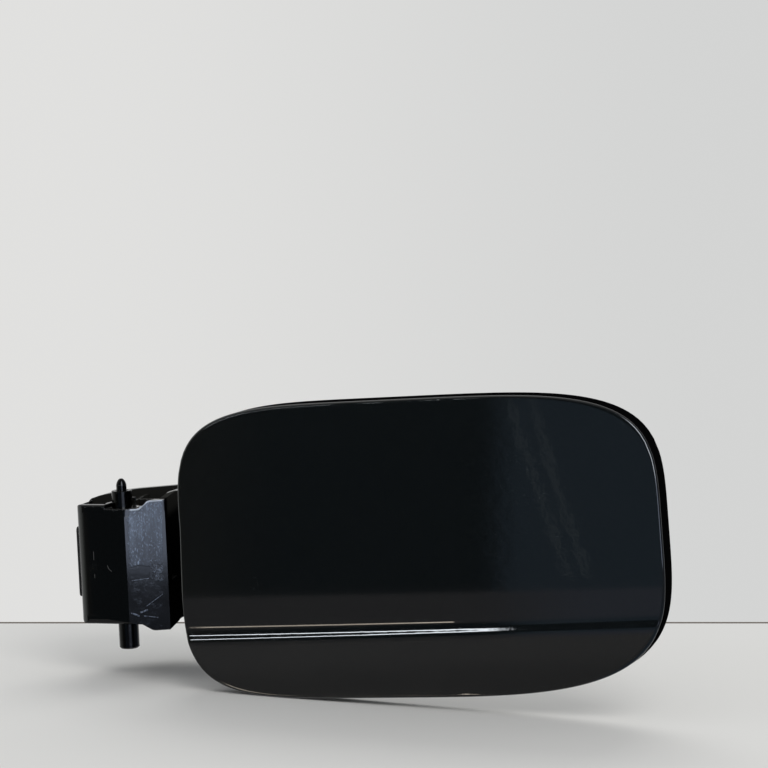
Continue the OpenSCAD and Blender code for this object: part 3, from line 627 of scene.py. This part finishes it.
def floor_finish():
    # Pale, with painted shade along its far edge where it meets the wall, and clear to the gloss, which
    # mirrors the world instead
    t = Tree("floor")
    pale = t.mix(t.noise(3.0), FLOOR_DARK, FLOOR_PALE)
    reach = t.minus(t.dot(t.coordinate("Object"), ahead[:]), origin.dot(ahead) + FLOOR_FAR)
    plain = t.node("ShaderNodeBsdfPrincipled")
    t.put(plain.inputs["Base Color"], t.mix(t.ramp(reach, (-4.5, -3.0)), pale, FLOOR_EDGE_SHADE))
    plain.inputs["Roughness"].default_value = 0.8
    plain.inputs["Specular IOR Level"].default_value = 0.0
    both = t.node("ShaderNodeMixShader")
    t.put(both.inputs[0], t.node("ShaderNodeLightPath").outputs["Is Glossy Ray"])
    t.put(both.inputs[1], plain.outputs[0])
    t.put(both.inputs[2], t.node("ShaderNodeBsdfTransparent").outputs[0])
    t.finish("ShaderNodeOutputMaterial", both)
    return t.mat


def make_floor():
    mesh = bpy.data.meshes.new("floor")
    corners = [origin + ahead * reach + side * across
               for reach, across in ((FLOOR_NEAR, -FLOOR_SIDE), (FLOOR_NEAR, FLOOR_SIDE),
                                     (FLOOR_FAR, FLOOR_SIDE), (FLOOR_FAR, -FLOOR_SIDE))]
    mesh.from_pydata([p[:] for p in corners], [], [(0, 1, 2, 3)])
    obj = bpy.data.objects.new("floor", mesh)
    scene.collection.objects.link(obj)
    mesh.materials.append(floor_finish())


# Room that the gloss mirrors, by azimuth to the left of straight back and by elevation. Each edge is
# a pair: where a part starts, and where it is full (degrees)
PALE_LEFT, PALE_ABOVE, LEFT_WALL, BACK_WALL = (45, 51), (20, 50), (62, 90), (112, 125)
BLUE_AZ, BLUE_EL = (38.0, 36.2), (-1.5, -3.5)
SLANTS, SLANT_HALF, SLANT_TOP, SLANT_FOOT = ((36.7, 0.27), (35.85, 0.25)), (0.12, 0.03), -3.6, (-12.1, -11.6)
BESIDE_AZ, BESIDE_EL = ((24, 12), (-108, -98)), ((58, 45), (-30, -20))
PANE_AZ, PANE_EL, PANE_BRIGHT = ((-2.5, -5), (-32, -26)), ((58, 45), (-8.50, -8.34)), (-2, 3)
TABLE_EL, TABLE_AZ = (-11.8, -19.6), (20, 26)
TABLE_BLUE, TABLE_PALE, TABLE_LOW = (39, 33), (-21.5, -24), (-25, -26.2)
WHITE_AZ, WHITE_HALF = ((38.2, 39.4), (53, 52)), (0.75, 0.6)
WHITE_END, WHITE_EL, WHITE_SLOPE = 49.8, 1.6, 0.32
WARM_AZ, WARM_EL = ((38.0, 39.0), (51.5, 50.8)), ((-31.6, -31.0), (-27.7, -28.3))
GLOW = (0.55, 0.56, 0.58)


def dim_room(t, az, el):
    room = t.mix(t.step(az, *PALE_LEFT), (0.045, 0.065, 0.075), (0.095, 0.100, 0.095))
    return t.mix(t.step(el, *PALE_ABOVE), room, (0.35, 0.36, 0.37))


def blue_part(t, az, el, room):
    # With two pale slanting lines
    blue = t.times(t.step(az, *BLUE_AZ), t.step(el, *BLUE_EL))
    room = t.mix(blue, room, (0.170, 0.245, 0.320))
    for at, slope in SLANTS:
        gap = t.size(t.minus(az, t.math("MULTIPLY_ADD", el, slope, at - SLANT_TOP * slope)))
        line = t.times(t.step(gap, *SLANT_HALF), t.step(el, *SLANT_FOOT), blue)
        room = t.mix(line, room, (0.400, 0.490, 0.550))
    return room


def window(t, az, el, room):
    # A dim wall to the right, the window in it, and the pale walls to the left and behind
    beside = t.times(t.between(az, *BESIDE_AZ), t.between(el, *BESIDE_EL))
    room = t.mix(beside, room, (0.16, 0.18, 0.22))
    pane = t.times(t.between(az, *PANE_AZ), t.between(el, *PANE_EL))
    room = t.mix(pane, room, t.mix(t.step(el, *PANE_BRIGHT), (2.6, 3.0, 3.9), (9.0, 9.6, 10.5)))
    room = t.mix(t.step(az, *LEFT_WALL), room, (0.80, 0.84, 0.80))
    return t.mix(t.step(t.size(az), *BACK_WALL), room, WALL)


def table_top(t, az, el, room):
    tone = t.mix(t.step(az, *TABLE_BLUE), (0.255, 0.255, 0.265), (0.300, 0.340, 0.430))
    tone = t.mix(t.step(el, *TABLE_PALE), tone, (0.37, 0.37, 0.37))
    tone = t.mix(t.step(el, *TABLE_LOW), tone, (0.28, 0.28, 0.28))
    return t.mix(t.times(t.step(el, *TABLE_EL), t.step(az, *TABLE_AZ)), room, tone)


def strip_lamps(t, az, el, room):
    # The crease's ridge shows the white one twice, and the fine pressed line shows the warm one
    height = t.math("MULTIPLY_ADD", t.minus(WHITE_END, az), WHITE_SLOPE, WHITE_EL)
    white = t.times(t.step(t.size(t.minus(el, height)), *WHITE_HALF), t.between(az, *WHITE_AZ))
    room = t.mix(white, room, (22.0, 23.5, 25.0))
    warm = t.times(t.between(el, *WARM_EL), t.between(az, *WARM_AZ))
    return t.mix(warm, room, (12.0, 10.6, 8.8))


def make_world():
    world = bpy.data.worlds.new("world")
    scene.world = world
    t = Tree("world", world)
    way = t.coordinate("Generated")
    back, left, high = (t.dot(way, v[:]) for v in (-ahead, -side, world_up))
    az = t.times(t.math("ARCTAN2", left, back), 180 / math.pi)
    el = t.times(t.math("ARCSINE", high), 180 / math.pi)
    room = dim_room(t, az, el)
    for part in (blue_part, window, table_top, strip_lamps):
        room = part(t, az, el, room)
    path = t.node("ShaderNodeLightPath")
    seen = t.most(path.outputs["Is Camera Ray"], path.outputs["Is Transmission Ray"])
    colour = t.mix(path.outputs["Is Glossy Ray"], GLOW, room)
    # The backdrop is painted paler to the left than to the right: painted light on the wall
    colour = t.mix(seen, colour, t.mix(t.step(left, -0.12, 0.12), WALL_RIGHT, WALL_LEFT))
    background = t.node("ShaderNodeBackground")
    t.put(background.inputs[0], colour)
    t.finish("ShaderNodeOutputWorld", background)


def lamp(name, offset, size, power, colour):
    # A soft lamp that gives light and shadow, and that the gloss doesn't mirror
    data = bpy.data.lights.new(name, "AREA")
    data.shape = "RECTANGLE"
    data.size, data.size_y = size
    data.energy = power
    data.color = colour
    obj = bpy.data.objects.new(name, data)
    obj.location = LAMP_AIM + Vector(offset)
    obj.rotation_mode = "QUATERNION"
    obj.rotation_quaternion = (-Vector(offset)).to_track_quat("-Z", "Y")
    obj.visible_camera = False
    obj.visible_glossy = False
    scene.collection.objects.link(obj)


make_floor()
make_world()
lamp("key", (0.9, -0.9, 1.1), (0.9, 0.9), 9, (1.0, 0.98, 0.96))
lamp("back", (-0.1, 0.75, 1.0), (0.9, 0.7), 5, (1.0, 0.99, 0.97))
